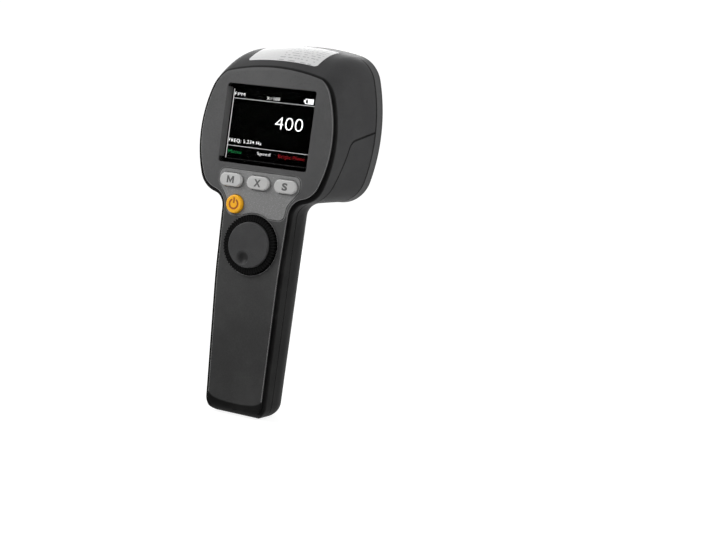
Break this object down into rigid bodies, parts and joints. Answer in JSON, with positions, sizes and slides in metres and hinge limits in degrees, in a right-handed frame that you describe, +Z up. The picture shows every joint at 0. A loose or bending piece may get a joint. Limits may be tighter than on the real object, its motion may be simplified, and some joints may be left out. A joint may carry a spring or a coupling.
{
  "type": "handheld led stroboscope",
  "caption": "Hand-held stroboscope with a square lens lamp, a colour display, push keys and a knurled dial on a pistol grip.",
  "frame": {"origin": "under the middle of the tool at the height of the end of its grip", "axes": "+Z up along the grip, +Y the way the lamp shines, display and keys face -Y, X = 0 is the plane of symmetry of the housing"},
  "size_m": [0.0882, 0.0552, 0.1993],
  "materials": {
    "housing_dark_grey": "fine grained satin",
    "housing_black": "fine grained satin",
    "bezel_black": "satin",
    "plate_black": "semi gloss",
    "window_clear": "clear",
    "display_black": "dark display",
    "steel": "plated",
    "board_green": "solder mask",
    "board_white": "white solder mask",
    "chip_black": "moulded",
    "keypad_grey": "speckled inlay",
    "key_grey": "satin",
    "key_amber": "satin",
    "dial_black": "satin",
    "dial_grey": "satin",
    "pad_grey": "soft",
    "aluminium": "extruded",
    "brass": "turned",
    "cell_wrap": "shrink wrap",
    "cradle_black": "moulded",
    "screw_black": "blackened",
    "label_white": "satin",
    "lens_clear": "clear",
    "emitter_white": "phosphor"
  },
  "bodies": {
    "housing": {"rear_housing": "housing_dark_grey", "front_housing": "housing_black", "lens_bezel": "bezel_black", "lens_plate": "plate_black", "display_window": "window_clear", "display_panel": "display_black", "display_frame": "steel", "main_board": "board_green", "main_board_parts": "chip_black", "main_board_screws": "steel", "keypad_panel": "keypad_grey", "push_switches": "chip_black", "encoder_body": "steel", "led_board": "board_white", "thermal_pad": "pad_grey", "heat_sink": "aluminium", "led_board_screws": "steel", "bezel_screws": "steel", "driver_board": "board_green", "driver_spacers": "brass", "driver_screws": "steel", "driver_parts": "chip_black", "battery_cell": "cell_wrap", "battery_cradle": "cradle_black", "usb_socket": "steel", "housing_screws": "screw_black", "rating_label": "label_white", "lens_r1c1": "lens_clear", "lens_r1c2": "lens_clear", "lens_r1c3": "lens_clear", "lens_r2c1": "lens_clear", "lens_r2c2": "lens_clear", "lens_r2c3": "lens_clear", "lens_r3c1": "lens_clear", "lens_r3c2": "lens_clear", "lens_r3c3": "lens_clear", "led_emitter_r1c1": "emitter_white", "led_emitter_r1c2": "emitter_white", "led_emitter_r1c3": "emitter_white", "led_emitter_r2c1": "emitter_white", "led_emitter_r2c2": "emitter_white", "led_emitter_r2c3": "emitter_white", "led_emitter_r3c1": "emitter_white", "led_emitter_r3c2": "emitter_white", "led_emitter_r3c3": "emitter_white"},
    "mode_key": {"mode_key": "key_grey"},
    "multiplier_key": {"multiplier_key": "key_grey"},
    "shift_key": {"shift_key": "key_grey"},
    "power_key": {"power_key": "key_amber"},
    "dial": {"dial_wheel": "dial_black", "dial_cap": "dial_grey", "dial_shaft": "steel"}
  },
  "joints": [
    {"name": "mode_key_press", "type": "slide", "parent": "housing", "child": "mode_key", "axis": [0, 0.9983, -0.0576], "range_m": [0, 0.0008], "stiffness_N_per_m": 3125},
    {"name": "multiplier_key_press", "type": "slide", "parent": "housing", "child": "multiplier_key", "axis": [0, 0.9983, -0.0576], "range_m": [0, 0.0008], "stiffness_N_per_m": 3125},
    {"name": "shift_key_press", "type": "slide", "parent": "housing", "child": "shift_key", "axis": [0, 0.9983, -0.0576], "range_m": [0, 0.0008], "stiffness_N_per_m": 3125},
    {"name": "power_key_press", "type": "slide", "parent": "housing", "child": "power_key", "axis": [0, 0.9983, -0.0576], "range_m": [0, 0.0008], "stiffness_N_per_m": 3125},
    {"name": "dial_turn", "type": "hinge", "parent": "housing", "child": "dial", "pos_m": [0, -0.02419, 0.0914], "axis": [0, -0.9983, 0.0576], "continuous": true}
  ]
}
